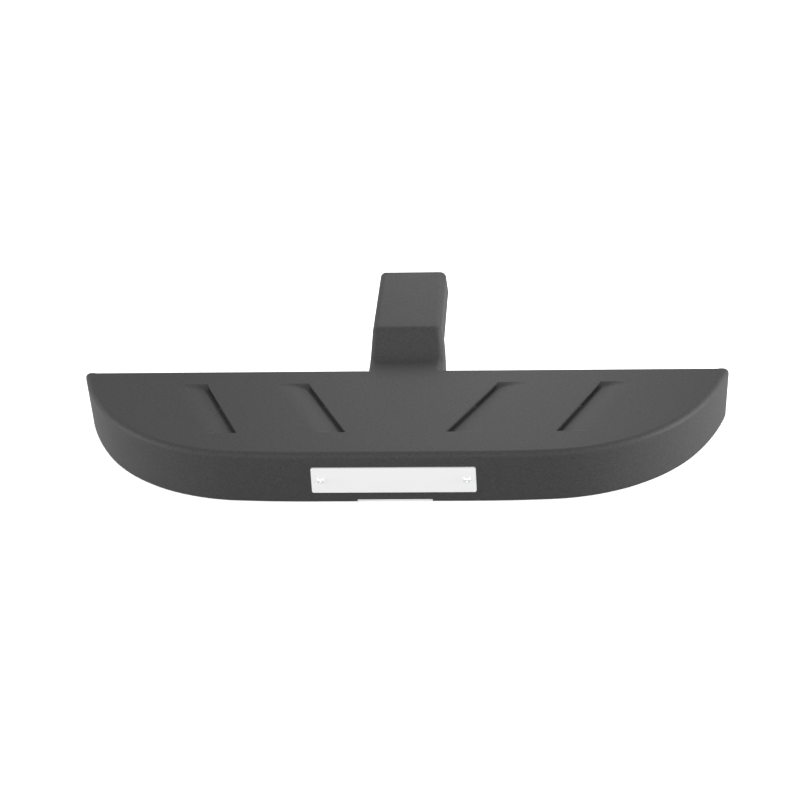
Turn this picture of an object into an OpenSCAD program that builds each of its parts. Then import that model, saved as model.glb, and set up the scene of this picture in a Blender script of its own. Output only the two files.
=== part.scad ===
// Hitch receiver step: a pressed steel tread on a square shank, with a raised cover over the receiver.
// Millimetres, +Z up, +X to the right, the vehicle towards +Y. The origin is the centre of the pin hole.
// The modules draw on the deck frame, whose origin is the middle of the deck's back edge on its top face.

/* [Deck] */
// Overall width of the step along its back edge
deck_w = 914; // [860:1:980]
// Depth of the deck from its back edge to the straight front edge
deck_depth = 244; // [236:1:256]
// Length of the straight front edge, where the plate is fixed
front_flat = 224; // [200:1:240]
// Radius of the rounded front corners in plan
corner_r = 247; // [220:1:252]
// Radius of the outline at the two ends in plan
end_r = 406; // [360:1:440]
// Angle where the corner radius runs into the end radius
corner_turn = 62; // [56:0.5:66]
// Angle of the outline where it meets the back edge
end_turn = 78.5; // [76:0.5:82]
// Thickness of the pressed sheet
sheet_t = 3; // [2:0.5:4]

/* [Skirt] */
// Height of the skirt from the deck to its bottom edge
skirt_h = 79; // [70:0.5:90]
// Inward lean of the skirt
skirt_lean = 4.4; // [1:0.1:6]
// Outside radius of the bend between deck and skirt
edge_r = 8; // [5:0.5:12]
// Outside radius of the bend between skirt and bottom lip
lip_r = 5; // [4:0.5:7]
// Inward reach of the bottom lip, bend included
lip_w = 14; // [10:1:20]
// Width of the relief that is cut out of the lip at the middle
relief_w = 104; // [60:1:160]
// Height of that relief
relief_h = 5; // [2:0.5:5]
// Depth of the flange that is turned down along the back edge
back_flange_h = 20; // [12:1:26]

/* [Louvers] */
// Distance from the centre line to the back end of the inner slit
inner_slit_x = 133; // [120:1:140]
// Distance from the centre line to the back end of the outer slit
outer_slit_x = 277; // [260:1:285]
// Distance from the back edge of the deck to the back end of a slit
slit_back = 37; // [37:1:44]
// Length of a slit along the depth of the deck
slit_run = 144; // [110:1:146]
// Lean of the inner slits towards the middle at the front
inner_slit_lean = 24.1; // [15:0.1:26]
// Lean of the outer slits towards the middle at the front
outer_slit_lean = 21.7; // [15:0.1:26]
// Depth of the pressing at the slit
louver_d = 7; // [5:0.5:9]
// Width of the pressing from the slit outwards
louver_w = 50; // [30:1:60]
// Length of the slope at the back end of the pressing
louver_back_run = 11; // [6:1:20]

/* [Neck] */
// Width of the neck where it leaves the deck
neck_w = 104; // [96:1:110]
// Draft of each side of the neck
neck_draft = 5.1; // [1:0.1:7]
// Flat length behind the back edge of the deck
neck_flat = 24; // [16:1:30]
// Slope of the riser
riser_angle = 65; // [50:1:68]
// Height of the riser
riser_h = 38; // [34:1:46]
// Radius of the concave bend at the foot of the riser
riser_foot_r = 27; // [15:1:32]
// Outside radius of the bend at the head of the riser
riser_head_r = 11; // [10:0.5:16]
// Slope of the cover behind the riser
cover_slope = 7; // [0:1:12]
// Length of the cover along its slope
cover_l = 139; // [120:1:160]
// Outside radius of the long edges of the neck
neck_edge_r = 8; // [5:0.5:9]
// Depth of the side flanges of the neck
neck_flange_h = 32; // [18:1:36]
// Radius in plan between the neck and the back edge
neck_fillet_r = 5; // [3.5:0.5:8]

/* [Shank] */
// Outside width and height of the square shank
shank_w = 50.8; // [50:0.1:51]
// Wall of the shank
shank_wall = 6.35; // [4:0.05:8]
// Outside corner radius of the shank
shank_corner_r = 6; // [3:0.5:6]
// Inside corner radius of the shank
shank_bore_r = 1.5; // [1:0.5:4]
// Diameter of the hole for the hitch pin
pin_hole_d = 16.7; // [16:0.1:18]
// Distance from the back edge of the deck to the pin hole
pin_back = 130; // [120:1:150]
// Distance from the pin hole to the end of the shank
shank_tail = 68; // [55:1:80]
// Distance from the front edge of the deck to the front end of the shank
shank_setback = 14; // [12:1:24]
// Thickness of the plate that closes the front end of the shank
nose_plate_t = 3; // [2:0.5:5]

/* [Frame] */
// Width of a cross tube along the depth of the deck
tube_w = 30; // [20:1:30]
// Height of a cross tube
tube_h = 40; // [30:1:45]
// Wall of a cross tube
tube_wall = 3; // [2:0.5:4]
// Outside corner radius of a cross tube
tube_corner_r = 4; // [3:0.5:6]
// Gap between the outer end of a front cross tube and the deck's outline beside its front face
front_tube_gap = 50; // [49:1:105]
// Distance from the front edge of the deck to the front face of a front cross tube
front_tube_setback = 27; // [25:1:29]
// Gap between the outer end of a rear cross tube and the end of the back edge
rear_tube_gap = 32; // [27:1:77]
// Thickness of the flat bar ribs
rib_t = 6; // [4:1:8]
// Height of the flat bar ribs
rib_h = 38; // [20:1:38]
// Distance from the outer end of the rear tube to where a rib meets it
rib_gap = 30; // [20:1:45]
// Thickness of the corner gussets
gusset_t = 6; // [4:1:8]
// Length of each leg of a corner gusset
gusset_leg = 90; // [60:1:120]
// Thickness of the ribs inside the riser
riser_rib_t = 5; // [3:1:6]
// Distance from the centre line to the middle of a riser rib
riser_rib_x = 16; // [8:1:18]
// Distance from the back edge of the deck to the rear edge of the riser ribs
riser_rib_back = 58; // [50:1:62]

/* [Plate] */
// Width of the plain plate on the skirt
plate_w = 226; // [218:1:236]
// Height of the plate
plate_h = 40; // [30:0.5:44]
// Thickness of the plate
plate_t = 2; // [1:0.5:3]
// Corner radius of the plate
plate_corner_r = 3; // [1:0.5:8]
// Distance down the skirt from the deck to the top edge of the plate
plate_drop = 21.5; // [14:0.5:22]
// Distance between the two screws
screw_span = 201; // [180:1:206]
// Thread diameter of the screws
screw_d = 6; // [5:1:6]
// Length of the screws under the head
screw_l = 16; // [14:1:20]
// Diameter of the button heads
head_d = 10.5; // [9:0.5:12]
// Height of the button heads
head_h = 3.3; // [2.5:0.1:4]
// Width across flats of the sockets
socket_af = 4; // [3:0.5:5]
// Depth of the sockets
socket_depth = 2; // [1.5:0.1:2.2]
// Clearance around a screw in its hole
hole_clear = 0.6; // [0.4:0.1:1]
// Outside diameter of the washers
washer_d = 12; // [11:0.5:18]
// Thickness of the washers
washer_t = 1.6; // [1:0.1:2]
// Width across flats of the nuts
nut_af = 10; // [9:0.5:13]
// Height of the nuts
nut_h = 5; // [4:0.5:6]

/* [Hidden] */

// Facets of curves, and of the large curves in plan
$fn = 64;
plan_fn = 180;
// Overrun of a cutting body past the face that it cuts
over = 1;
// A length past every edge of the step
far = 2 * deck_w;
// Where two bodies of the sheet overlap, faces that would lie in one plane are this step apart
lap_step = 0.03;
// Width of the deck that is swept with the rim, and overlaps the flat middle by half
strip_w = 12;
// Largest angles between the corners of the flat middle, which are hidden in that strip, and of the rim's sweep
core_step = 9;
rim_step = 6;
// Facets of the rim's bends at the deck and at the lip
edge_facets = 4;
lip_facets = 3;

COAT = [0.13, 0.13, 0.135];
FRAME_COAT = [0.10, 0.10, 0.105];
PLATE_METAL = [0.90, 0.90, 0.91];
SCREW_METAL = [0.78, 0.78, 0.80];

// Plan outline: a straight front, then three tangent arcs on each side.
// Each arc is [centre, radius, start angle, end angle], with angles from the front towards the end.
end_c = [deck_w / 2 - end_r * sin(end_turn), end_r * cos(end_turn)];
corner_c = end_c + (end_r - corner_r) * [sin(corner_turn), -cos(corner_turn)];
front_q = deck_depth + corner_c[1];
front_dx = corner_c[0] - front_flat / 2;
front_r = (pow(front_q, 2) + pow(front_dx, 2) - pow(corner_r, 2)) / (2 * (front_q - corner_r));
front_c = [front_flat / 2, front_r - deck_depth];
front_turn = asin(front_dx / (front_r - corner_r));
OUTLINE = [
  [front_c, front_r, 0, front_turn],
  [corner_c, corner_r, front_turn, corner_turn],
  [end_c, end_r, corner_turn, end_turn]
];

// Distance from the outline to where the bend begins on the deck
edge_in = edge_r * (1 + sin(skirt_lean)) / cos(skirt_lean);
// Inward shift of the skirt's outer face at a height below the deck
function lean_in(drop) = drop * tan(skirt_lean);

// Places on the deck frame
shank_z = -sheet_t - shank_w / 2;
shank_front_y = -deck_depth + shank_setback;
shank_back_y = pin_back + shank_tail;
front_tube_y = -deck_depth + front_tube_setback + tube_w / 2;
front_tube_x = lookup(front_tube_y - tube_w / 2,
  [for (s = half_stations(core_step)) let (p = arc_point(s[0], s[1], 0)) [p[1], p[0]]]) - front_tube_gap;
// Depth of the back flange's inner face, where the rear tubes begin
flange_in = sheet_t + 2 * lap_step;
rear_tube_y = -flange_in - tube_w / 2;
rear_tube_x = deck_w / 2 - rear_tube_gap;
rib_back_x = rear_tube_x - rib_gap;
tube_z = -sheet_t - tube_h / 2;

// Side view of the neck, as points [y, z]: a flat, the foot bend, the riser, the head bend and the cover
riser_l = (riser_h - riser_foot_r * (1 - cos(riser_angle))
  - riser_head_r * (cos(cover_slope) - cos(riser_angle))) / sin(riser_angle);
foot_end = [neck_flat + riser_foot_r * sin(riser_angle), riser_foot_r * (1 - cos(riser_angle))];
riser_end = foot_end + riser_l * [cos(riser_angle), sin(riser_angle)];
head_c = riser_end + riser_head_r * [sin(riser_angle), -cos(riser_angle)];
head_end = head_c + riser_head_r * [-sin(cover_slope), cos(cover_slope)];
cover_end_y = head_end[0] + cover_l * cos(cover_slope);
// Facets of the neck's bends, and half the length over which a deep line spreads the points of the head bend
bend_facets = 6;
head_spread = 2;

// Moves the deck frame to the row's own frame, whose origin is the pin hole
module from_deck() {
  translate([0, -pin_back, -shank_z]) children();
}

// Rectangle about the origin with round corners
module round_rect(w, h, r) {
  square([w - 2 * r, h], center = true);
  square([w, h - 2 * r], center = true);
  for (sx = [-1, 1], sy = [-1, 1])
    translate([sx * (w / 2 - r), sy * (h / 2 - r)]) circle(r);
}

// Pie slice from the origin, between two angles from +X
module wedge(r, a0, a1) {
  reach = r / cos((a1 - a0) / 2) + over;
  polygon([[0, 0], reach * [cos(a0), sin(a0)], reach * [cos(a1), sin(a1)]]);
}

// Part of a ring between two angles from +X
module ring_sector(r_out, r_in, a0, a1) {
  intersection() {
    difference() {
      circle(r_out);
      if (r_in > 0) circle(r_in);
    }
    wedge(r_out, a0, a1);
  }
}

// Point at a share of an arc of the outline, moved inwards by a distance. The last arc ends on the back edge.
function arc_point(arc, share, inset) =
  let (
    end = arc[1] == end_r ? acos(end_c[1] / (end_r - inset)) : arc[3],
    turn = arc[2] + (end - arc[2]) * share,
    p = arc[0] + (arc[1] - inset) * [sin(turn), -cos(turn)]
  ) [p[0], min(p[1], 0)];

// Stations round the outline on the side with x > 0, as [arc, share], from the front to the back edge
function half_stations(step) = [
  for (arc = OUTLINE) let (count = ceil((arc[3] - arc[2]) / step))
    for (i = [arc[2] == 0 ? 0 : 1:count]) [arc, i / count]
];

// The whole outline at a distance inwards, from the left end of the back edge to the right end
function outline_points(step, inset) =
  let (right = [for (s = half_stations(step)) arc_point(s[0], s[1], inset)])
    concat([for (i = [len(right) - 1:-1:0]) [-right[i][0], right[i][1]]], right);

// Flat middle of the deck
module deck_core() {
  corners = [for (p = outline_points(core_step, edge_in + strip_w / 2)) [p[0], min(p[1], -lap_step)]];
  translate([0, 0, -sheet_t]) linear_extrude(sheet_t) polygon(corners);
}

// One face of the sheet from the deck's strip to the end of the bottom lip, as [inset, z], at a depth in the sheet
function rim_line(depth) =
  let (
    skirt_l = (skirt_h - edge_r * (1 + sin(skirt_lean)) - lip_r * (1 - sin(skirt_lean))) / cos(skirt_lean),
    lip_c = [edge_in, -edge_r] + (edge_r - lip_r) * [-cos(skirt_lean), -sin(skirt_lean)]
      + skirt_l * [sin(skirt_lean), -cos(skirt_lean)]
  ) concat(
    [[edge_in + strip_w, -depth]],
    [for (i = [0:edge_facets]) let (a = 90 - (90 + skirt_lean) * i / edge_facets)
      [edge_in, -edge_r] + (edge_r - depth) * [-cos(a), sin(a)]],
    [for (i = [0:lip_facets]) let (a = -skirt_lean - (90 - skirt_lean) * i / lip_facets)
      lip_c + (lip_r - depth) * [-cos(a), sin(a)]],
    [lip_c + [lip_w - lip_r, depth - lip_r]]
  );

// Faces of a swept sheet, from its number of rows and of points in a row.
// A row runs along one face of the sheet and comes back along the other, and each end is closed by a strip.
function swept_faces(count, n) = concat(
  [for (j = [0:count - 2]) for (i = [0:n - 1])
    let (a = j * n + i, b = j * n + (i + 1) % n) for (f = [[a, b + n, b], [a, a + n, b + n]]) f],
  [for (i = [0:n / 2 - 2]) [i, i + 1, n - 2 - i, n - 1 - i]],
  [for (i = [0:n / 2 - 2]) [for (k = [n - 1 - i, n - 2 - i, i + 1, i]) (count - 1) * n + k]]
);

// Rim of the whole shell: the sheet's section, carried round the outline as one body
module rim() {
  inner = rim_line(sheet_t);
  section = concat(rim_line(0), [for (i = [len(inner) - 1:-1:0]) inner[i]]);
  n = len(section);
  rows = [for (p = section) outline_points(rim_step, p[0])];
  count = len(rows[0]);
  points = [for (j = [0:count - 1]) for (i = [0:n - 1]) [rows[i][j][0], rows[i][j][1], section[i][1]]];
  polyhedron(points, swept_faces(count, n));
}

// Flange turned down along the back edge, from the neck to the middle of the skirt's thickness
module half_back_flange() {
  start = neck_w / 2 + neck_fillet_r - over;
  end = deck_w / 2;
  mid_t = sheet_t / 2;
  bend_p = [end - edge_in, -edge_r] + (edge_r - mid_t) * [sin(45), cos(45)];
  translate([0, -2 * lap_step, 0]) rotate([90, 0, 0]) linear_extrude(sheet_t) polygon([
    [start, -mid_t], [end - edge_in, -mid_t], bend_p,
    [end - lean_in(edge_r) - mid_t, -edge_r], [end - lean_in(back_flange_h) - mid_t, -back_flange_h],
    [start, -back_flange_h]
  ]);
}

// Fillet in plan between the back edge and the side of the neck, with its stretch of flange
module half_fillet() {
  translate([neck_w / 2 + neck_fillet_r, neck_fillet_r, 0]) {
    translate([0, 0, -back_flange_h]) linear_extrude(back_flange_h)
      ring_sector(neck_fillet_r + sheet_t, neck_fillet_r, 180, 270);
    translate([0, 0, -sheet_t]) linear_extrude(sheet_t) difference() {
      translate([-neck_fillet_r - over, -neck_fillet_r - over]) square(neck_fillet_r + over);
      circle(neck_fillet_r);
    }
  }
}

// Back end and lean of each slit on the right half
SLITS = [[inner_slit_x, inner_slit_lean], [outer_slit_x, outer_slit_lean]];

// Section across a pressing: x = 0 is the slit, and x grows outwards
module louver_arc(thickness) {
  r = (pow(louver_w, 2) + pow(louver_d, 2)) / (2 * louver_d);
  translate([louver_w, -r]) circle(r - thickness, $fn = 4 * plan_fn);
}

// Space above the pressing, or with a thickness the pressing and that space together
module louver_body(thickness, head) {
  tall = louver_d + thickness;
  run = louver_back_run * tall / louver_d;
  slit_l = slit_run / cos($slit_lean);
  intersection() {
    translate([0, -slit_back, 0]) rotate([0, 0, -$slit_lean]) translate([0, louver_w, 0]) rotate([90, 0, 0])
      linear_extrude(slit_l + 2 * louver_w) difference() {
        translate([0, -tall]) square([louver_w, tall + head]);
        louver_arc(thickness);
      }
    translate([-far / 2, 0, 0]) rotate([90, 0, 90]) linear_extrude(far) polygon([
      [-slit_back - slit_run - thickness, head], [-slit_back + thickness, head], [-slit_back + thickness, 0],
      [-slit_back + thickness - run, -tall], [-slit_back - slit_run - thickness, -tall]
    ]);
  }
}

// Repeats a pressing at both slits of the right half
module at_slits() {
  for (slit = SLITS) {
    $slit_lean = slit[1];
    translate([slit[0], 0, 0]) children();
  }
}

// Flat middle of the deck with its four pressed louvers
module louvered_deck() {
  difference() {
    union() {
      deck_core();
      at_slits() louver_body(sheet_t, 0);
      mirror([1, 0, 0]) at_slits() louver_body(sheet_t, 0);
    }
    at_slits() louver_body(0, over);
    mirror([1, 0, 0]) at_slits() louver_body(0, over);
  }
}

// Half width of the neck at a height above the deck
function neck_side(z) = neck_w / 2 - z * tan(neck_draft);

// A line of the neck's side view, as [y, z], at a depth below the top face.
// Past the head's radius the bend is the corner of two straight lines, with its points spread along them.
function neck_line(depth) =
  let (
    riser_dir = [cos(riser_angle), sin(riser_angle)],
    cover_dir = [cos(cover_slope), sin(cover_slope)],
    r = riser_head_r - depth,
    head_mid = 90 + (cover_slope + riser_angle) / 2,
    corner = head_c + r / cos((riser_angle - cover_slope) / 2) * [cos(head_mid), sin(head_mid)],
    foot = [for (i = [0:bend_facets]) let (a = riser_angle * i / bend_facets - 90)
      [neck_flat, riser_foot_r] + (riser_foot_r + depth) * [cos(a), sin(a)]],
    head = [for (i = [0:bend_facets]) let (
      a = 90 + riser_angle - (riser_angle - cover_slope) * i / bend_facets, late = 2 * i / bend_facets - 1)
      r > head_spread ? head_c + r * [cos(a), sin(a)] : corner + head_spread * late * (late < 0 ? riser_dir : cover_dir)],
    last = head[bend_facets],
    cover_run = (cover_end_y - last[0]) / cos(cover_slope)
  ) concat([[-sheet_t / 2, -depth]], foot, head, [last + cover_run * cover_dir]);

// Section of the neck's edge and flange on the side with x > 0, as [inset, depth]
function neck_section(face) = concat(
  [for (i = [0:bend_facets]) let (a = 90 * i / bend_facets)
    [neck_edge_r - (neck_edge_r - face) * sin(a), neck_edge_r - (neck_edge_r - face) * cos(a)]],
  [[face, neck_flange_h]]
);

// Neck with its side flanges, as one body that is carried along the side view
module neck() {
  outer = neck_section(0);
  inner = neck_section(sheet_t);
  last = len(outer) - 1;
  // The loop runs over the top from left to right, and back along the underside
  loop = concat(
    [for (i = [last:-1:0]) [-1, outer[i]]], [for (p = outer) [1, p]],
    [for (i = [last:-1:0]) [1, inner[i]]], [for (p = inner) [-1, p]]
  );
  n = len(loop);
  rows = [for (q = loop) neck_line(q[1][1])];
  count = len(rows[0]);
  points = [for (j = [0:count - 1]) for (i = [0:n - 1]) let (p = rows[i][j])
    [loop[i][0] * (neck_side(p[1]) - loop[i][1][0]), p[0], p[1]]];
  polyhedron(points, swept_faces(count, n));
}

// Frame of the skirt's flat front: x across, z up along its outer face, and y = 0 on that face
module on_skirt() {
  translate([0, -deck_depth, 0]) rotate([skirt_lean, 0, 0]) children();
}

// Frames of the two screws: z = 0 on the skirt's outer face, and z grows towards the viewer
module at_screws() {
  on_skirt() for (side = [-1, 1])
    translate([side * screw_span / 2, 0, -plate_drop - plate_h / 2]) rotate([90, 0, 0]) children();
}

// Relief in the bottom lip
module lip_relief() {
  reach = lean_in(skirt_h) + lip_w + 2 * over;
  translate([-relief_w / 2, -deck_depth - over, -skirt_h - over]) cube([relief_w, reach, relief_h + over]);
}

// Back flange and fillet on the side with x > 0
module half_back() {
  half_back_flange();
  half_fillet();
}

// Pressed shell: deck, louvers, skirt, lip, back flange and neck are one sheet
module step_shell() {
  color(COAT) from_deck() {
    louvered_deck();
    difference() {
      rim();
      lip_relief();
      at_screws() translate([0, 0, -sheet_t - over])
        cylinder(d = screw_d + hole_clear, h = sheet_t + 2 * over);
    }
    neck();
    half_back();
    mirror([1, 0, 0]) half_back();
  }
}

// Carries a section, drawn with x across and y up, from one depth to another
module along_y(y0, y1) {
  translate([0, y1, 0]) rotate([90, 0, 0]) linear_extrude(y1 - y0) children();
}

// Square shank with the hole for the hitch pin
module receiver_shank() {
  bore_l = shank_w + 2 * over;
  bore_w = shank_w - 2 * shank_wall;
  color(FRAME_COAT) from_deck() translate([0, 0, shank_z]) difference() {
    along_y(shank_front_y, shank_back_y) difference() {
      round_rect(shank_w, shank_w, shank_corner_r);
      round_rect(bore_w, bore_w, shank_bore_r);
    }
    translate([-bore_l / 2, pin_back, 0]) rotate([0, 90, 0]) cylinder(d = pin_hole_d, h = bore_l);
  }
}

// Plate that closes the front end of the shank
module shank_nose_plate() {
  color(FRAME_COAT) from_deck() translate([0, 0, shank_z])
    along_y(shank_front_y - nose_plate_t, shank_front_y) round_rect(shank_w, shank_w, shank_corner_r);
}

// Cross tube on the side with x > 0, from the shank outwards
module cross_tube(y, end_x) {
  color(FRAME_COAT) from_deck() translate([shank_w / 2, y, tube_z]) rotate([90, 0, 90])
    linear_extrude(end_x - shank_w / 2) difference() {
      round_rect(tube_w, tube_h, tube_corner_r);
      round_rect(tube_w - 2 * tube_wall, tube_h - 2 * tube_wall, tube_corner_r - tube_wall);
    }
}

// Flat bar rib from the end of the front tube to the face of the rear tube
module diagonal_rib() {
  front = [front_tube_x, front_tube_y];
  back = [rib_back_x, -flange_in - tube_w];
  run = back - front;
  color(FRAME_COAT) from_deck() translate([0, 0, tube_z - tube_h / 2]) linear_extrude(rib_h) intersection() {
    translate(front) rotate(atan2(run[1], run[0])) translate([-rib_t, -rib_t / 2])
      square([norm(run) + 2 * rib_t, rib_t]);
    translate(front - [0, tube_w]) square([deck_w, back[1] - front[1] + tube_w]);
  }
}

// Gusset in the corner between the shank and the rear tube, lapped under the tube
module shank_gusset() {
  color(FRAME_COAT) from_deck() translate([shank_w / 2, -flange_in, tube_z - tube_h / 2 - gusset_t])
    linear_extrude(gusset_t) polygon([[0, 0], [gusset_leg, 0], [0, -gusset_leg]]);
}

// Rib inside the riser, from the top of the shank to just under the neck
module riser_rib() {
  start = neck_flat + riser_foot_r / 3;
  line = neck_line(sheet_t);
  color(FRAME_COAT) from_deck() translate([riser_rib_x - riser_rib_t / 2, 0, 0]) rotate([90, 0, 90])
    linear_extrude(riser_rib_t) intersection() {
      polygon(concat([[0, -sheet_t]], [for (p = line) if (p[0] > 0) p], [[cover_end_y, -sheet_t]]));
      translate([start, -sheet_t]) square([riser_rib_back - start, riser_h]);
    }
}

// Plain plate on the front of the skirt
module badge_plate() {
  color(PLATE_METAL) from_deck() difference() {
    on_skirt() translate([0, 0, -plate_drop - plate_h / 2]) rotate([90, 0, 0])
      linear_extrude(plate_t) round_rect(plate_w, plate_h, plate_corner_r);
    at_screws() translate([0, 0, -over]) cylinder(d = screw_d + hole_clear, h = plate_t + 2 * over);
  }
}

// Button head screw with a hexagon socket: z = 0 is the face that the head seats on
module button_screw() {
  dome_r = (pow(head_d / 2, 2) + pow(head_h, 2)) / (2 * head_h);
  difference() {
    union() {
      translate([0, 0, -screw_l]) cylinder(d = screw_d, h = screw_l);
      rotate_extrude() intersection() {
        translate([0, head_h - dome_r]) circle(dome_r);
        square([head_d, head_h]);
      }
    }
    translate([0, 0, head_h - socket_depth])
      cylinder(d = socket_af / cos(30), h = socket_depth + over, $fn = 6);
  }
}

module badge_screws() {
  color(SCREW_METAL) from_deck() at_screws() translate([0, 0, plate_t]) button_screw();
}

module badge_washers() {
  color(SCREW_METAL) from_deck() at_screws() translate([0, 0, -sheet_t - washer_t]) difference() {
    cylinder(d = washer_d, h = washer_t);
    translate([0, 0, -over]) cylinder(d = screw_d + hole_clear, h = washer_t + 2 * over);
  }
}

module badge_nuts() {
  color(SCREW_METAL) from_deck() at_screws() translate([0, 0, -sheet_t - washer_t - nut_h]) difference() {
    cylinder(d = nut_af / cos(30), h = nut_h, $fn = 6);
    translate([0, 0, -over]) cylinder(d = screw_d, h = nut_h + 2 * over);
  }
}

step_shell();
receiver_shank();
shank_nose_plate();
mirror([1, 0, 0]) cross_tube(front_tube_y, front_tube_x);  // left_front_tube
cross_tube(front_tube_y, front_tube_x);  // right_front_tube
mirror([1, 0, 0]) cross_tube(rear_tube_y, rear_tube_x);  // left_rear_tube
cross_tube(rear_tube_y, rear_tube_x);  // right_rear_tube
mirror([1, 0, 0]) diagonal_rib();  // left_diagonal_rib
diagonal_rib();  // right_diagonal_rib
mirror([1, 0, 0]) shank_gusset();  // left_shank_gusset
shank_gusset();  // right_shank_gusset
mirror([1, 0, 0]) riser_rib();  // left_riser_rib
riser_rib();  // right_riser_rib
badge_plate();
badge_screws();
badge_washers();
badge_nuts();
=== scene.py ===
"""Hitch receiver step: the pressed shell, its plate and its welded frame, dressed for the render.

Sizes are millimetres on the deck frame, whose origin is the middle of the deck's back edge on its top
face, with +Y towards the vehicle and +Z up. The row frame has its origin at the pin hole, and meshes are
made in metres there.
"""

import logging
import math
from dataclasses import dataclass, field
from enum import Enum

import bmesh
import bpy
import numpy as np
from mathutils import Matrix, Vector
from mathutils.geometry import tessellate_polygon

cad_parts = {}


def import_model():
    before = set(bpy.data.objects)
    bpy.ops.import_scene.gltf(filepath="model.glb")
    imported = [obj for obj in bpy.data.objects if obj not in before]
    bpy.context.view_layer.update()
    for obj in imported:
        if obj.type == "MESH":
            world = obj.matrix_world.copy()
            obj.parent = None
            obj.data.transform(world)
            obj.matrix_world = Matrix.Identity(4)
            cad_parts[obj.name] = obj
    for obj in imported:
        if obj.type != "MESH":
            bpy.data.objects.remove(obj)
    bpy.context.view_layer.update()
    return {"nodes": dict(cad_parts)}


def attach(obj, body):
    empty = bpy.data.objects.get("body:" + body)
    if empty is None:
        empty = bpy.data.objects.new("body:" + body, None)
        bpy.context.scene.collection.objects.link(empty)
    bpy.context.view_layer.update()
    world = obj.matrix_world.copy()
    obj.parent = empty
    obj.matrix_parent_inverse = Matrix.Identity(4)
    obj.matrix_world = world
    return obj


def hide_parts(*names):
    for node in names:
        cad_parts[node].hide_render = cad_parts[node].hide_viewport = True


LOG = logging.getLogger("hitch_step")
MM = 0.001
BODY = "root"


class Slot(Enum):
    """Material slots of the record."""

    COAT = "powder_coat"
    FRAME = "frame_coat"
    PLATE = "plate_metal"
    SCREW = "screw_metal"


@dataclass(frozen=True)
class Arc:
    """One arc of the plan outline.

    Args:
        centre: centre in plan.
        radius: radius of the outline.
        start: turn from the front where it starts, in radians.
        end: turn where it ends, in radians.
    """

    centre: tuple[float, float]
    radius: float
    start: float
    end: float


@dataclass(frozen=True)
class DeckSizes:
    """Driving sizes of the deck and its skirt, the same as in the part's source."""

    width: float = 914.0
    depth: float = 244.0
    front_flat: float = 224.0
    corner_r: float = 247.0
    end_r: float = 406.0
    corner_turn: float = math.radians(62.0)
    end_turn: float = math.radians(78.5)
    sheet: float = 3.0
    skirt_h: float = 79.0
    lean: float = math.radians(4.4)
    edge_r: float = 8.0
    lip_r: float = 5.0
    lip_w: float = 14.0
    relief_w: float = 104.0
    relief_h: float = 5.0
    back_flange: float = 20.0
    back_edge_r: float = 1.2
    strip: float = 6.0

    @property
    def edge_in(self) -> float:
        """Distance from the outline to where the bend begins on the deck."""
        return self.edge_r * (1 + math.sin(self.lean)) / math.cos(self.lean)

    def arcs(self) -> list[Arc]:
        """Tangent arcs of the outline on the side with x > 0.

        Returns:
            The wide front arc, the corner and the end, in that order.
        """
        end_x = self.width / 2 - self.end_r * math.sin(self.end_turn)
        end_c = np.array([end_x, self.end_r * math.cos(self.end_turn)])
        lean_in = np.array([math.sin(self.corner_turn), -math.cos(self.corner_turn)])
        corner_c = end_c + (self.end_r - self.corner_r) * lean_in
        q = self.depth + corner_c[1]
        dx = corner_c[0] - self.front_flat / 2
        front_r = (q**2 + dx**2 - self.corner_r**2) / (2 * (q - self.corner_r))
        turn = math.asin(dx / (front_r - self.corner_r))
        return [
            Arc((self.front_flat / 2, front_r - self.depth), front_r, 0.0, turn),
            Arc(tuple(corner_c), self.corner_r, turn, self.corner_turn),
            Arc(tuple(end_c), self.end_r, self.corner_turn, self.end_turn),
        ]


@dataclass(frozen=True)
class LouverSizes:
    """Sizes of the four pressings in the deck."""

    slit_x: tuple[float, float] = (133.0, 277.0)
    leans: tuple[float, float] = (math.radians(24.1), math.radians(21.7))
    back: float = 37.0
    run: float = 144.0
    drop: float = 7.0
    width: float = 50.0
    back_run: float = 11.0
    front_run: float = 2.5


@dataclass(frozen=True)
class NeckSizes:
    """Sizes of the neck and its raised cover."""

    width: float = 104.0
    draft: float = math.radians(5.1)
    flat: float = 24.0
    riser_angle: float = math.radians(65.0)
    riser_h: float = 38.0
    foot_r: float = 27.0
    head_r: float = 11.0
    slope: float = math.radians(7.0)
    cover_l: float = 139.0
    edge_r: float = 8.0
    flange: float = 32.0
    fillet_r: float = 5.0
    strip: float = 4.0


@dataclass(frozen=True)
class Camera:
    """Camera fitted to the photograph, on the deck frame."""

    focal_px: float = 4000.0
    frame_px: float = 800.0
    elevation: float = math.radians(28.0)
    yaw: float = math.radians(-5.629)
    roll: float = math.radians(3.0466)
    across: float = -9.14
    distance: float = 5655.0
    drop: float = -41.2
    sensor: float = 36.0


@dataclass(frozen=True)
class CoatFinish:
    """Powder coat.

    Args:
        name: name of the material.
        color: base colour, linear.
        spread: how far the colour varies, as a share.
        grain: size of the grain in metres.
        roughness: roughness of the coat.
        bump: strength of the grain's bump.
        specular: specular level.
    """

    name: str
    color: tuple[float, float, float]
    spread: float
    grain: float
    roughness: float
    bump: float
    specular: float


@dataclass(frozen=True)
class MetalFinish:
    """Bare metal with a fine direction in its finish.

    Args:
        name: name of the material.
        color: base colour, linear.
        roughness: roughness.
        metallic: how metallic it is.
        bump: strength of the brushed bump.
        stretch: scale of the brushing along X, Y and Z.
    """

    name: str
    color: tuple[float, float, float]
    roughness: float
    metallic: float
    bump: float
    stretch: tuple[float, float, float]


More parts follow.
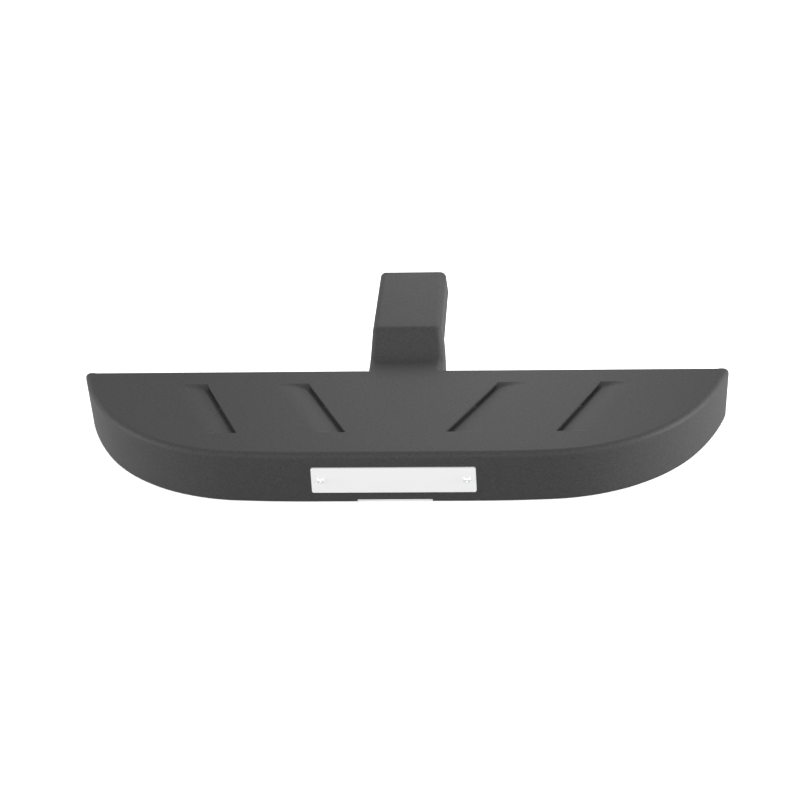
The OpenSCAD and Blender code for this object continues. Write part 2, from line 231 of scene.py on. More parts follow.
COAT = CoatFinish("powder_coat_textured", (0.048, 0.048, 0.0483), 0.9, 0.0014, 0.6, 0.8, 0.2)
FRAME_COAT = CoatFinish("powder_coat_plain", (0.028, 0.028, 0.0285), 0.35, 0.0016, 0.55, 0.25, 0.42)
PLATE = MetalFinish("plate_satin", (0.93, 0.93, 0.935), 0.45, 0.25, 0.05, (4.0, 60.0, 60.0))
SCREW = MetalFinish("zinc_plated", (0.74, 0.75, 0.77), 0.33, 1.0, 0.08, (40.0, 40.0, 40.0))


class Sheet:
    """Collects grids and flat areas of a pressed sheet with x > 0, and welds them with their mirror."""

    def __init__(self) -> None:
        self.points: list[np.ndarray] = []
        self.faces: list[tuple[int, ...]] = []
        self.count = 0

    def _add(self, points: np.ndarray) -> int:
        first = self.count
        self.points.append(points.reshape(-1, 3))
        self.count += len(self.points[-1])
        return first

    def grid(self, points: np.ndarray, flip: bool = False) -> None:
        """Adds a grid of quads.

        Args:
            points: array of rows, columns and 3 coordinates.
            flip: turns the faces over. Unflipped, rows cross columns points out.
        """
        rows, cols = points.shape[:2]
        first = self._add(points)
        for j in range(rows - 1):
            for i in range(cols - 1):
                a = first + j * cols + i
                quad = (a, a + 1, a + cols + 1, a + cols)
                self.faces.append(quad[::-1] if flip else quad)

    def flat(self, outer: np.ndarray, holes: list[np.ndarray], z: float, up: bool) -> None:
        """Adds a flat area with holes.

        It is cut into triangles on a plan bent by y + PLAN_BEND * x^2, on which no three corners of the
        holes are in line.

        Args:
            outer: corners in plan of the outer loop.
            holes: corners in plan of each hole.
            z: height of the area.
            up: whether it faces up.
        """
        plan = np.vstack([outer, *holes])
        bent = plan + np.column_stack([np.zeros(len(plan)), PLAN_BEND * plan[:, 0] ** 2])
        ends = np.cumsum([len(loop) for loop in [outer, *holes]])
        loops = [[Vector((x, y, 0.0)) for x, y in loop] for loop in np.split(bent, ends[:-1])]
        first = self._add(np.column_stack([plan, np.full(len(plan), z)]))
        for tri in tessellate_polygon(loops):
            a, b, c = (bent[i] for i in tri)
            area = (b[0] - a[0]) * (c[1] - a[1]) - (b[1] - a[1]) * (c[0] - a[0])
            face = tuple(first + i for i in tri)
            self.faces.append(face if (area > 0) == up else face[::-1])

    def mesh(self, name: str, sharp: float) -> bpy.types.Object:
        """Makes the object from the collected half and its mirror.

        Args:
            name: name of the piece.
            sharp: angle over which an edge is sharp, in radians.

        Returns:
            The welded piece, in metres on the row frame.
        """
        half = np.vstack(self.points)
        both = np.vstack([half, half * [-1, 1, 1]])
        faces = self.faces + [tuple(i + len(half) for i in face[::-1]) for face in self.faces]
        return make_object(name, both, faces, sharp)


def to_row(points: np.ndarray) -> np.ndarray:
    """Moves points from the deck frame in millimetres to the row frame in metres.

    Args:
        points: array of points.

    Returns:
        The points in metres on the row frame.
    """
    return (points + ROW_SHIFT) * MM


def make_object(name: str, points: np.ndarray, faces: list[tuple[int, ...]], sharp: float) -> bpy.types.Object:
    """Makes a smooth, welded mesh object.

    Args:
        name: name of the piece.
        points: points on the deck frame in millimetres.
        faces: corners of each face.
        sharp: angle over which an edge is sharp, in radians.

    Returns:
        The object, linked to the scene and riding on the one body.
    """
    mesh = bpy.data.meshes.new(name)
    mesh.from_pydata(to_row(points).tolist(), [], faces)
    work = bmesh.new()
    work.from_mesh(mesh)
    bmesh.ops.remove_doubles(work, verts=work.verts, dist=WELD * MM)
    bmesh.ops.dissolve_degenerate(work, dist=WELD * MM, edges=work.edges)
    work.to_mesh(mesh)
    work.free()
    mesh.shade_smooth()
    mesh.set_sharp_from_angle(angle=sharp)
    obj = bpy.data.objects.new(name, mesh)
    bpy.context.scene.collection.objects.link(obj)
    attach(obj, BODY)
    return obj


WELD = 0.01
PLAN_BEND = 1e-6
# Shares of the neck's half width at which its top has points
TOP_SHARES = np.linspace(1, 0, 6)
# The pin hole is this far behind the deck's back edge, and the shank's middle this far below the deck
PIN_BACK = 130.0
SHANK_W = 50.8
ROW_SHIFT = np.array([0.0, -PIN_BACK, DeckSizes.sheet + SHANK_W / 2])


@dataclass
class Shell:
    """The pressed steel shell: deck, louvers, skirt, lip, back flange and neck in one sheet.

    Args:
        deck: sizes of the deck and skirt.
        louver: sizes of the pressings.
        neck: sizes of the neck.
    """

    deck: DeckSizes = field(default_factory=DeckSizes)
    louver: LouverSizes = field(default_factory=LouverSizes)
    neck: NeckSizes = field(default_factory=NeckSizes)
    turn_step: float = math.radians(1.0)
    sharp: float = math.radians(38.0)

    def build(self) -> bpy.types.Object:
        """Builds the shell.

        Returns:
            The piece that stands for the CAD shell.
        """
        sheet = Sheet()
        rim_line = self._rim(sheet)
        back_line = self._border(sheet, rim_line)
        holes = [self._louver(sheet, i) for i in range(2)]
        rear = np.array([back_line[-1] * [share, 1] for share in TOP_SHARES[1:]])
        outer = np.vstack([rim_line[rim_line[:, 1] < back_line[0, 1]], back_line, rear])
        sheet.flat(outer, holes, 0.0, True)
        sheet.flat(outer, holes, -self.deck.sheet, False)
        return sheet.mesh("step_shell_pressed", self.sharp)

    def _stations(self) -> list[tuple[Arc | None, float]]:
        """Stations round the outline from the middle of the front to the back edge.

        Returns:
            Pairs of an arc and a share of it, or of None and a distance along the straight front.
        """
        half_relief = self.deck.relief_w / 2
        found: list[tuple[Arc | None, float]] = [(None, x) for x in (0.0, half_relief, half_relief)]
        found.append((None, self.deck.front_flat / 2))
        for arc in self.deck.arcs():
            count = math.ceil((arc.end - arc.start) / self.turn_step)
            found += [(arc, i / count) for i in range(1, count + 1)]
        return found

    def _outline(self, station: tuple[Arc | None, float], inset: float) -> tuple[float, float]:
        """A point of the outline moved inwards.

        The last arc ends where the moved outline meets the back edge, so every line of the sweep ends at y = 0.

        Args:
            station: a station from `_stations`.
            inset: distance inwards.

        Returns:
            The point in plan.
        """
        arc, share = station
        if arc is None:
            return share, inset - self.deck.depth
        end = arc.end
        if arc.radius == self.deck.end_r:
            end = math.acos(arc.centre[1] / (arc.radius - inset))
        turn = arc.start + (end - arc.start) * share
        r = arc.radius - inset
        return arc.centre[0] + r * math.sin(turn), min(arc.centre[1] - r * math.cos(turn), 0.0)

    def _rim_line(self, depth: float) -> np.ndarray:
        """Face of the sheet from the deck's strip to the lip's end, at a depth in the sheet.

        The bends are arcs: centre plus radius times (cos, sin) of an angle that runs from straight up to the skirt's
        lean, and from there to straight down.

        Args:
            depth: 0 on the outer face, the sheet's thickness on the inner face.

        Returns:
            Points as [inset, z].
        """
        d = self.deck
        bends = d.edge_r * (1 + math.sin(d.lean)) + d.lip_r * (1 - math.sin(d.lean))
        skirt_l = (d.skirt_h - bends) / math.cos(d.lean)
        down = np.array([math.sin(d.lean), -math.cos(d.lean)])
        out = np.array([-math.cos(d.lean), -math.sin(d.lean)])
        edge_c = np.array([d.edge_in, -d.edge_r])
        lip_c = edge_c + (d.edge_r - d.lip_r) * out + skirt_l * down
        edge = np.linspace(math.pi / 2, -d.lean, 13)
        lip = np.linspace(-d.lean, -math.pi / 2, 9)
        skirt = [edge_c + (d.edge_r - depth) * out + skirt_l * down * s for s in (0.04, 0.35, 0.65, 0.96)]
        rows = [np.array([d.edge_in + d.strip, -depth]), np.array([d.edge_in + 0.5, -depth])]
        rows += [edge_c + (d.edge_r - depth) * np.array([-math.cos(a), math.sin(a)]) for a in edge]
        rows += skirt
        rows += [lip_c + (d.lip_r - depth) * np.array([-math.cos(a), math.sin(a)]) for a in lip]
        rows.append(lip_c + np.array([d.lip_w - d.lip_r, depth - d.lip_r]))
        return np.array(rows)

    def _rim(self, sheet: Sheet) -> np.ndarray:
        """Sweeps bend, skirt and lip round the outline.

        Args:
            sheet: collects the faces.

        Returns:
            The inner line of the strip in plan, from the middle of the front to the back edge.
        """
        d = self.deck
        stations = self._stations()
        cut_z = d.relief_h - d.skirt_h
        faces = []
        inner_line = self._rim_line(d.sheet)
        corner = np.array([np.interp(-cut_z, -inner_line[:-9, 1], inner_line[:-9, 0]), cut_z])
        for depth in (0.0, d.sheet):
            line = self._rim_line(depth)
            cut = np.array([p if p[1] > cut_z else [max(p[0], 0), cut_z] for p in line])
            if depth == 0.0:
                below = np.nonzero(line[:, 1] <= cut_z)[0]
                cut[below[1:]] = corner
            else:
                cut[line[:, 1] <= cut_z] = corner
            rows = []
            for i, station in enumerate(stations):
                used = cut if i < 2 else line
                rows.append([(*self._outline(station, p[0]), p[1]) for p in used])
            faces.append(np.array(rows))
        outer, inner = faces
        sheet.grid(outer)
        sheet.grid(inner, flip=True)
        sheet.grid(np.stack([outer[:, -1], inner[:, -1]], axis=1))
        sheet.grid(np.stack([outer[-1], inner[-1]], axis=1), flip=True)
        notch = np.stack([np.concatenate([outer[i], inner[i][::-1]]) for i in (1, 2)])
        sheet.grid(notch, flip=True)
        return outer[:, 0, :2]

    def _neck_row(self, depth: float) -> np.ndarray:
        """Side view of the neck at a depth below its top face: flat, foot bend, riser, head bend and cover.

        Both bends are arcs about fixed centres, so a line at a depth has the radius plus the depth at the foot and
        minus it at the head, where it becomes the corner of the two straight lines once the depth passes the radius.

        Args:
            depth: distance below the top face, along its normal.

        Returns:
            Points as [y, z], from the fillet's end to the cover's end.
        """
        n = self.neck
        foot_c = np.array([n.flat, n.foot_r])
        riser_dir = np.array([math.cos(n.riser_angle), math.sin(n.riser_angle)])
        riser_up = np.array([-math.sin(n.riser_angle), math.cos(n.riser_angle)])
        cover_dir = np.array([math.cos(n.slope), math.sin(n.slope)])
        cover_up = np.array([-math.sin(n.slope), math.cos(n.slope)])
        riser_cos = math.cos(n.riser_angle)
        rise = n.foot_r * (1 - riser_cos) + n.head_r * (math.cos(n.slope) - riser_cos)
        riser_l = (n.riser_h - rise) / math.sin(n.riser_angle)
        foot_end = foot_c - n.foot_r * riser_up
        head_c = foot_end + riser_l * riser_dir - n.head_r * riser_up
        cover_end = (head_c + n.head_r * cover_up + n.cover_l * cover_dir)[0]
        r = n.head_r - depth
        mid = math.pi / 2 + (n.slope + n.riser_angle) / 2
        reach = r / math.cos((n.riser_angle - n.slope) / 2)
        corner = head_c + reach * np.array([math.cos(mid), math.sin(mid)])
        foot = [foot_c + (n.foot_r + depth) * np.array([math.cos(a), math.sin(a)])
                for a in np.linspace(-math.pi / 2, n.riser_angle - math.pi / 2, 17)]
        turns = np.linspace(math.pi / 2 + n.riser_angle, math.pi / 2 + n.slope, 13)
        head = [head_c + r * np.array([math.cos(a), math.sin(a)]) if r > 0 else corner for a in turns]
        last = head[-1] + (cover_end - head[-1][0]) / math.cos(n.slope) * cover_dir
        flat = [np.array([y, -depth]) for y in np.linspace(n.fillet_r, n.flat, 5)[:-1]]
        riser = [foot[-1] + (head[0] - foot[-1]) * s for s in (0.25, 0.5, 0.75)]
        cover = [head[-1] + (last - head[-1]) * s for s in np.linspace(0, 1, 13)[1:]]
        return np.array([*flat, *foot, *riser, *head, *cover])

    def _side_x(self, z: float) -> float:
        """Half width of the neck at a height above the deck, which the draft makes smaller."""
        return self.neck.width / 2 - z * math.tan(self.neck.draft)

    def _edge_section(self, radius: float, flange: float, strip: float, depth: float) -> np.ndarray:
        """Section of the turned-down edge: a strip, a bend and a flange.

        Args:
            radius: outside radius of the bend.
            flange: depth of the flange.
            strip: width of the flat strip before the bend.
            depth: 0 on the outer face, the sheet's thickness on the inner face.

        Returns:
            Points as [inset, depth].
        """
        centre = max(radius, depth)
        r = max(radius - depth, 0.0)
        bend = [[centre - r * math.sin(a), centre - r * math.cos(a)] for a in np.linspace(0, math.pi / 2, 11)]
        leg = [[depth, centre + (flange - centre) * s] for s in (0.34, 0.67, 1.0)]
        return np.array([[radius + strip, depth], [centre + 0.3, depth], *bend, *leg])

    def _border(self, sheet: Sheet, rim_line: np.ndarray) -> np.ndarray:
        """Sweeps the turned-down edge along the back edge, round the fillet and along the neck.

        Args:
            sheet: collects the faces.
            rim_line: inner line of the rim's strip in plan, where the sweep starts.

        Returns:
            The inner line of its strip in plan, from the end of the back edge to the neck.
        """
        d, n = self.deck, self.neck
        end_x = rim_line[-1, 0]
        corner_x = n.width / 2 + n.fillet_r
        turns = np.linspace(1.5 * math.pi, math.pi, 13)
        faces = []
        for depth in (0.0, d.sheet):
            rows = []
            section = self._edge_section(d.back_edge_r, d.back_flange, n.strip, depth)
            rows.append([(np.interp(-p[0], rim_line[:, 1], rim_line[:, 0]), -p[0], -p[1]) for p in section])
            for x in np.linspace(end_x, corner_x, 25)[1:-1]:
                rows.append([(x, -p[0], -p[1]) for p in section])
            for k, turn in enumerate(turns[:-1]):
                share = 0.5 - 0.5 * math.cos(math.pi * k / (len(turns) - 1))
                radius = d.back_edge_r + (n.edge_r - d.back_edge_r) * share
                flange = d.back_flange + (n.flange - d.back_flange) * share
                section = self._edge_section(radius, flange, n.strip, depth)
                flare = share * math.tan(n.draft)
                rows.append([(corner_x + (n.fillet_r + p[0]) * math.cos(turn) + flare * (p[1] - depth),
                              n.fillet_r + (n.fillet_r + p[0]) * math.sin(turn), -p[1]) for p in section])
            section = self._edge_section(n.edge_r, n.flange, n.strip, depth)
            lines = [self._neck_row(p[1]) for p in section]
            for j in range(len(lines[0])):
                rows.append([(self._side_x(line[j, 1] + depth) - p[0], line[j, 0], line[j, 1])
                             for p, line in zip(section, lines, strict=True)])
            faces.append(np.array(rows))
        outer, inner = faces
        sheet.grid(outer)
        sheet.grid(inner, flip=True)
        sheet.grid(np.stack([outer[:, -1], inner[:, -1]], axis=1))
        sheet.grid(np.stack([outer[-1], inner[-1]], axis=1), flip=True)
        sheet.grid(np.stack([outer[0], inner[0]], axis=1))
        first = 24 + len(turns) - 1
        self._neck_top(sheet, outer[first:, 0], inner[first:, 0])
        return outer[:first + 1, 0, :2]

    def _neck_top(self, sheet: Sheet, outer: np.ndarray, inner: np.ndarray) -> None:
        """Fills the neck's top between the middle and its rounded edge.

        Args:
            sheet: collects the faces.
            outer: inner line of the edge's strip on the top face.
            inner: the same line on the underside.
        """
        grids = [np.stack([line * [share, 1, 1] for share in TOP_SHARES], axis=1) for line in (outer, inner)]
        sheet.grid(grids[0], flip=True)
        sheet.grid(grids[1])
        sheet.grid(np.stack([grids[0][-1], grids[1][-1]], axis=1))

    def _louver(self, sheet: Sheet, index: int) -> np.ndarray:
        """Presses one louver: a ramp that is deepest along its slit.

        Depth is drop * f(u) * g(v). Across, f(u) = (1 - u)^2, whose slope fades evenly from the slit outwards. Along,
        g(v) eases in over the back run, as 1 - (1 - v)^2, and falls steeply at the front.

        Args:
            sheet: collects the faces.
            index: 0 for the inner slit, 1 for the outer one.

        Returns:
            The corners of the pressing's edge in plan, as a hole of the flat deck.
        """
        s = self.louver
        across = np.linspace(0, 1, 31) ** 1.15
        back = 1 - np.linspace(1, 0, 13) ** 1.4
        along = np.concatenate([back * s.back_run, np.linspace(s.back_run, s.run - s.front_run, 30)[1:],
                                s.run - s.front_run + s.front_run * np.linspace(0, 1, 7)[1:]])
        rise = np.clip(along / s.back_run, 0, 1)
        fall = np.clip((s.run - along) / s.front_run, 0, 1)
        g = (1 - (1 - rise) ** 2) * fall * fall * (3 - 2 * fall)
        f = (1 - across) ** 2
        u, v = np.meshgrid(across, along)
        depth = s.drop * np.outer(g, f)
        slit_x = s.slit_x[index] - along * math.tan(s.leans[index])
        x = slit_x[:, None] + u * s.width
        y = -s.back - v
        top = np.stack([x, y, -depth], axis=-1)
        under = top - [0, 0, self.deck.sheet]
        sheet.grid(top, flip=True)
        sheet.grid(under)
        slit_top = top[:, 0] * [1, 1, 0]
        thick = np.array([0, 0, self.deck.sheet])
        sheet.grid(np.stack([slit_top, slit_top - thick], axis=1), flip=True)
        sheet.grid(np.stack([top[:, 0], under[:, 0]], axis=1))
        edge = np.concatenate([top[:, 0], top[-1, 1:], top[::-1, -1][1:], top[0, ::-1][1:-1]])
        return edge[:, :2]


def noise_bump_group() -> bpy.types.NodeTree:
    """Node group for a sprayed grain: a height made of two noises, and a tint that varies about one.

    Returns:
        The group, with sockets Grain, Spread and Bump in, and Tint and Normal out.
    """
    group = bpy.data.node_groups.new("sprayed_grain", "ShaderNodeTree")
    face = group.interface
    for name, value in (("Grain", 0.001), ("Spread", 0.1), ("Bump", 0.3)):
        face.new_socket(name, in_out="INPUT", socket_type="NodeSocketFloat").default_value = value
    face.new_socket("Tint", in_out="OUTPUT", socket_type="NodeSocketFloat")
    face.new_socket("Normal", in_out="OUTPUT", socket_type="NodeSocketVector")
    nodes, links = group.nodes, group.links
    start = nodes.new("NodeGroupInput")
    end = nodes.new("NodeGroupOutput")
    place = nodes.new("ShaderNodeTexCoord")
    scale = nodes.new("ShaderNodeMath")
    scale.operation = "DIVIDE"
    scale.inputs[0].default_value = 1.0
    links.new(start.outputs["Grain"], scale.inputs[1])
    fine = nodes.new("ShaderNodeTexNoise")
    fine.inputs["Detail"].default_value = 2.0
    wide = nodes.new("ShaderNodeTexNoise")
    wide.inputs["Detail"].default_value = 3.0
    wide_scale = nodes.new("ShaderNodeMath")
    wide_scale.operation = "MULTIPLY"
    wide_scale.inputs[1].default_value = 0.35
    links.new(scale.outputs[0], wide_scale.inputs[0])
    for noise, source in ((fine, scale), (wide, wide_scale)):
        links.new(place.outputs["Object"], noise.inputs["Vector"])
        links.new(source.outputs[0], noise.inputs["Scale"])
    height = nodes.new("ShaderNodeMath")
    height.operation = "MULTIPLY_ADD"
    height.inputs[1].default_value = 0.45
    links.new(wide.outputs["Fac"], height.inputs[0])
    links.new(fine.outputs["Fac"], height.inputs[2])
    centred = nodes.new("ShaderNodeMath")
    centred.operation = "SUBTRACT"
    centred.inputs[1].default_value = 0.72
    links.new(height.outputs[0], centred.inputs[0])
    tint = nodes.new("ShaderNodeMath")
    tint.operation = "MULTIPLY_ADD"
    tint.inputs[2].default_value = 1.0
    links.new(centred.outputs[0], tint.inputs[0])
    links.new(start.outputs["Spread"], tint.inputs[1])
    bump = nodes.new("ShaderNodeBump")
    bump.inputs["Distance"].default_value = 0.0002
    links.new(start.outputs["Bump"], bump.inputs["Strength"])
    links.new(height.outputs[0], bump.inputs["Height"])
    links.new(tint.outputs[0], end.inputs["Tint"])
    links.new(bump.outputs["Normal"], end.inputs["Normal"])
    return group


def coat_material(finish: CoatFinish, group: bpy.types.NodeTree) -> bpy.types.Material:
    """Makes a powder coat.

    Args:
        finish: its colour, grain and gloss.
        group: the shared grain group.

    Returns:
        The material.
    """
    material = bpy.data.materials.new(finish.name)
    material.use_nodes = True
    nodes, links = material.node_tree.nodes, material.node_tree.links
    shader = nodes["Principled BSDF"]
    shader.inputs["Roughness"].default_value = finish.roughness
    shader.inputs["Specular IOR Level"].default_value = finish.specular
    grain = nodes.new("ShaderNodeGroup")
    grain.node_tree = group
    grain.inputs["Grain"].default_value = finish.grain
    grain.inputs["Spread"].default_value = finish.spread
    grain.inputs["Bump"].default_value = finish.bump
    color = nodes.new("ShaderNodeVectorMath")
    color.operation = "SCALE"
    color.inputs[0].default_value = finish.color
    links.new(grain.outputs["Tint"], color.inputs["Scale"])
    links.new(color.outputs[0], shader.inputs["Base Color"])
    links.new(grain.outputs["Normal"], shader.inputs["Normal"])
    return material


def metal_material(finish: MetalFinish) -> bpy.types.Material:
    """Makes a metal with fine brushing.

    Args:
        finish: its colour, gloss and direction.

    Returns:
        The material.
    """
    material = bpy.data.materials.new(finish.name)
    material.use_nodes = True
    nodes, links = material.node_tree.nodes, material.node_tree.links
    shader = nodes["Principled BSDF"]
    shader.inputs["Metallic"].default_value = finish.metallic
    place = nodes.new("ShaderNodeTexCoord")
    stretch = nodes.new("ShaderNodeMapping")
    stretch.inputs["Scale"].default_value = finish.stretch
    noise = nodes.new("ShaderNodeTexNoise")
    noise.inputs["Scale"].default_value = 40.0
    noise.inputs["Detail"].default_value = 4.0
    links.new(place.outputs["Object"], stretch.inputs["Vector"])
    links.new(stretch.outputs["Vector"], noise.inputs["Vector"])
    rough = nodes.new("ShaderNodeMapRange")
    rough.inputs["To Min"].default_value = finish.roughness - 0.08
    rough.inputs["To Max"].default_value = finish.roughness + 0.08
    links.new(noise.outputs["Fac"], rough.inputs["Value"])
    links.new(rough.outputs["Result"], shader.inputs["Roughness"])
    tone = nodes.new("ShaderNodeMapRange")
    tone.inputs["To Min"].default_value = 0.96
    tone.inputs["To Max"].default_value = 1.02
    links.new(noise.outputs["Fac"], tone.inputs["Value"])
    color = nodes.new("ShaderNodeVectorMath")
    color.operation = "SCALE"
    color.inputs[0].default_value = finish.color
    links.new(tone.outputs["Result"], color.inputs["Scale"])
    links.new(color.outputs[0], shader.inputs["Base Color"])
    bump = nodes.new("ShaderNodeBump")
    bump.inputs["Strength"].default_value = finish.bump
    bump.inputs["Distance"].default_value = 0.0001
    links.new(noise.outputs["Fac"], bump.inputs["Height"])
    links.new(bump.outputs["Normal"], shader.inputs["Normal"])
    return material


def dress(obj: bpy.types.Object, material: bpy.types.Material) -> None:
    """Gives a piece its material.

    Args:
        obj: the piece or CAD node.
        material: its material.
    """
    obj.data.materials.clear()
    obj.data.materials.append(material)


@dataclass(frozen=True)
class SoftLight:
    """An area light that faces the step.

    Args:
        name: its name.
        place: where it stands, in metres on the row frame.
        target: the point that it faces.
        size: its width and height in metres.
        power: its power in watts.
    """

    name: str
    place: tuple[float, float, float]
    target: tuple[float, float, float]
    size: tuple[float, float]
    power: float

    def add(self) -> None:
        """Adds the light to the scene."""
        lamp = bpy.data.lights.new(self.name, "AREA")
        lamp.shape = "RECTANGLE"
        lamp.size, lamp.size_y = self.size
        lamp.energy = self.power
        obj = bpy.data.objects.new(self.name, lamp)
        obj.location = self.place
        facing = Vector(self.target) - Vector(self.place)
        obj.rotation_euler = facing.to_track_quat("-Z", "Y").to_euler()
        bpy.context.scene.collection.objects.link(obj)


@dataclass
class Studio:
    """Plain pale floor, white surroundings, soft lights and the photograph's camera."""

    camera: Camera = field(default_factory=Camera)
    ambient: float = 0.56
    floor_z: float = -0.0507
    floor_reach: float = 12.0
    floor_grey: float = 0.42
    floor_white: float = 1.4
    floor_glow: float = 0.45
    # Level of the painted shade under the deck, which the floor's white and glow fall to on camera rays
    floor_painted_shade: float = 0.02
    shade_centre: tuple[float, float] = (0.0, -0.1925)
    shade_half: tuple[float, float] = (0.30, 0.1075)
    shade_fade: float = 0.045
    lights: tuple[SoftLight, ...] = (
        SoftLight("light_top", (0.08, 0.45, 0.42), (0.05, 0.0, 0.05), (0.5, 0.25), 1.7),
        SoftLight("light_right", (2.4, -0.3, 0.2), (0.4, -0.25, 0.0), (1.2, 0.8), 74.0),
        SoftLight("light_left", (-2.4, -0.6, 0.2), (-0.4, -0.25, 0.0), (1.2, 0.8), 40.0),
        SoftLight("light_front", (0.0, -2.1, 0.75), (0.0, -0.1, 0.03), (1.2, 0.6), 13.0),
    )

    def build(self) -> None:
        """Adds floor, surroundings, lights and camera."""
        self._world()
        self._floor()
        for light in self.lights:
            light.add()
        self._camera()
        bpy.context.scene.view_settings.view_transform = "Standard"

    @staticmethod
    def _ray_share(tree: bpy.types.NodeTree, *names: str) -> bpy.types.NodeSocket:
        """Adds a socket that is 1 on the named kinds of ray.

        Args:
            tree: node tree of a material or of the world.
            names: outputs of the Light Path node.

        Returns:
            The socket.
        """
        paths = tree.nodes.new("ShaderNodeLightPath")
        last = paths.outputs[names[0]]
        for name in names[1:]:
            either = tree.nodes.new("ShaderNodeMath")
            either.operation = "MAXIMUM"
            tree.links.new(last, either.inputs[0])
            tree.links.new(paths.outputs[name], either.inputs[1])
            last = either.outputs[0]
        return last

    def _world(self) -> None:
        """Surroundings that look white and light the step evenly."""
        world = bpy.data.worlds.new("studio")
        world.use_nodes = True
        nodes, links = world.node_tree.nodes, world.node_tree.links
        room, seen = nodes["Background"], nodes.new("ShaderNodeBackground")
        room.inputs["Strength"].default_value = self.ambient
        room.inputs["Color"].default_value = (1, 1, 1, 1)
        seen.inputs["Color"].default_value = (1, 1, 1, 1)
        mix = nodes.new("ShaderNodeMixShader")
        seen_share = self._ray_share(world.node_tree, "Is Camera Ray", "Is Glossy Ray", "Is Transmission Ray")
        links.new(seen_share, mix.inputs["Fac"])
        links.new(room.outputs[0], mix.inputs[1])
        links.new(seen.outputs[0], mix.inputs[2])
        links.new(mix.outputs[0], nodes["World Output"].inputs["Surface"])
        bpy.context.scene.world = world

    def _floor_shade(self, tree: bpy.types.NodeTree) -> bpy.types.NodeSocket:
        """Adds a painted dark patch under the deck, so that the slits look dark. It shows from low behind too.

        It is 1 in a rectangle on the floor and falls smoothly to 0 over a distance from it.

        Args:
            tree: node tree of the floor's material.

        Returns:
            Socket with the share of shade.
        """
        nodes, links = tree.nodes, tree.links
        place = nodes.new("ShaderNodeTexCoord")
        last = place.outputs["Object"]
        steps = (("SUBTRACT", (*self.shade_centre, self.floor_z)), ("ABSOLUTE", None),
                 ("SUBTRACT", (*self.shade_half, 0.0)), ("MAXIMUM", (0.0, 0.0, 0.0)), ("LENGTH", None))
        for operation, value in steps:
            node = nodes.new("ShaderNodeVectorMath")
            node.operation = operation
            links.new(last, node.inputs[0])
            if value is not None:
                node.inputs[1].default_value = value
            last = node.outputs["Value" if operation == "LENGTH" else "Vector"]
        fade = nodes.new("ShaderNodeMapRange")
        fade.interpolation_type = "SMOOTHSTEP"
        fade.inputs["From Max"].default_value = self.shade_fade
        fade.inputs["To Min"].default_value = 1.0
        fade.inputs["To Max"].default_value = 0.0
        links.new(last, fade.inputs["Value"])
        return fade.outputs["Result"]

    def _floor(self) -> None:
        """Pale floor that keeps the step's shadow, with painted shade under the deck. A bright diffuse share shows it
        as white on camera rays.
        """
        material = bpy.data.materials.new("floor_pale")
        material.use_nodes = True
        nodes, links = material.node_tree.nodes, material.node_tree.links
        nodes["Principled BSDF"].inputs["Base Color"].default_value = (self.floor_grey,) * 3 + (1,)
        nodes["Principled BSDF"].inputs["Roughness"].default_value = 0.9
        shade = self._floor_shade(material.node_tree)
        white, pale = nodes.new("ShaderNodeBsdfDiffuse"), nodes.new("ShaderNodeEmission")
        shares = ((self.floor_white, white.inputs["Color"]), (self.floor_glow, pale.inputs["Strength"]))
        # Painted shade: inside the patch under the deck, the camera-ray white and glow both fall to a dark level
        for bright, target in shares:
            tone = nodes.new("ShaderNodeMapRange")
            tone.inputs["To Min"].default_value = bright
            tone.inputs["To Max"].default_value = self.floor_painted_shade
            links.new(shade, tone.inputs["Value"])
            links.new(tone.outputs["Result"], target)
        lit = nodes.new("ShaderNodeAddShader")
        links.new(white.outputs[0], lit.inputs[0])
        links.new(pale.outputs[0], lit.inputs[1])
        glow = nodes.new("ShaderNodeEmission")
        seen, mirrored = nodes.new("ShaderNodeMixShader"), nodes.new("ShaderNodeMixShader")
        links.new(self._ray_share(material.node_tree, "Is Camera Ray"), seen.inputs["Fac"])
        links.new(mirrored.outputs[0], seen.inputs[1])
        links.new(lit.outputs[0], seen.inputs[2])
        mirror_share = self._ray_share(material.node_tree, "Is Glossy Ray", "Is Transmission Ray")
        links.new(mirror_share, mirrored.inputs["Fac"])
        links.new(nodes["Principled BSDF"].outputs[0], mirrored.inputs[1])
        links.new(glow.outputs[0], mirrored.inputs[2])
        links.new(seen.outputs[0], nodes["Material Output"].inputs["Surface"])
        mesh = bpy.data.meshes.new("floor")
        reach = self.floor_reach
        corners = [(x * reach, y * reach, self.floor_z) for x, y in ((-1, -1), (1, -1), (1, 1), (-1, 1))]
        mesh.from_pydata(corners, [], [(0, 1, 2, 3)])
        mesh.materials.append(material)
        floor = bpy.data.objects.new("floor", mesh)
        bpy.context.scene.collection.objects.link(floor)

    def _camera(self) -> None:
        c = self.camera
        right = np.array([1.0, 0.0, 0.0])
        ahead = np.array([0.0, math.cos(c.elevation), -math.sin(c.elevation)])
        up = np.array([0.0, math.sin(c.elevation), math.cos(c.elevation)])
        centre = c.across * right - c.distance * ahead + c.drop * up
        rolled_right = math.cos(c.roll) * right - math.sin(c.roll) * up
        rolled_up = math.sin(c.roll) * right + math.cos(c.roll) * up
        turn = np.array(Matrix.Rotation(-c.yaw, 3, "Z"))
        place = to_row(turn @ centre)
        axes = np.column_stack([turn @ rolled_right, turn @ rolled_up, -(turn @ ahead)])
        data = bpy.data.cameras.new("photo_camera")
        data.sensor_width = c.sensor
        data.lens = c.sensor * c.focal_px / c.frame_px
        data.clip_end = 60.0
        obj = bpy.data.objects.new("photo_camera", data)
        matrix = np.eye(4)
        matrix[:3, :3] = axes
        matrix[:3, 3] = place
        obj.matrix_world = Matrix(matrix.tolist())
        bpy.context.scene.collection.objects.link(obj)
        bpy.context.scene.camera = obj


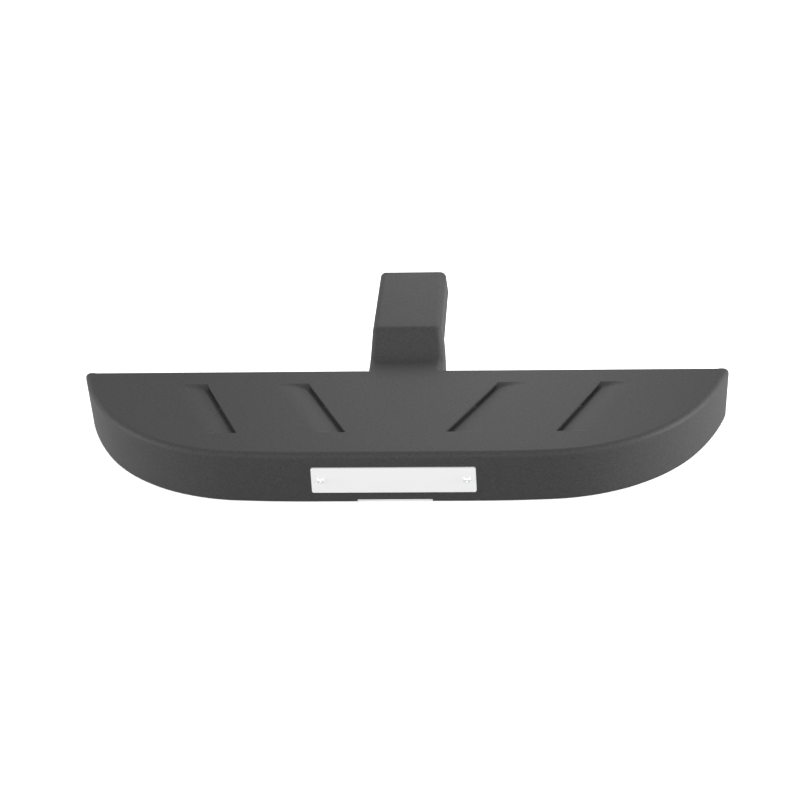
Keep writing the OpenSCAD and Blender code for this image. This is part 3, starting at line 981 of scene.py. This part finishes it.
def dress_nodes(frame: dict, coat: bpy.types.Material, plate: bpy.types.Material,
                screw: bpy.types.Material) -> None:
    """Gives every CAD node its material.

    Args:
        frame: the loaded frame.
        coat: coat of the welded frame.
        plate: metal of the plate.
        screw: metal of screws, washers and nuts.
    """
    for name, obj in frame["nodes"].items():
        if name == "badge_plate":
            dress(obj, plate)
        elif name.startswith("badge_"):
            dress(obj, screw)
        elif name != "step_shell":
            dress(obj, coat)


def main() -> None:
    """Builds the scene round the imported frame."""
    logging.basicConfig(level=logging.INFO)
    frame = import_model()
    group = noise_bump_group()
    coat = coat_material(COAT, group)
    dress_nodes(frame, coat_material(FRAME_COAT, group), metal_material(PLATE), metal_material(SCREW))
    shell = Shell().build()
    dress(shell, coat)
    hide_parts("step_shell")
    Studio().build()
    bpy.context.view_layer.update()


if __name__ == "__main__":
    main()
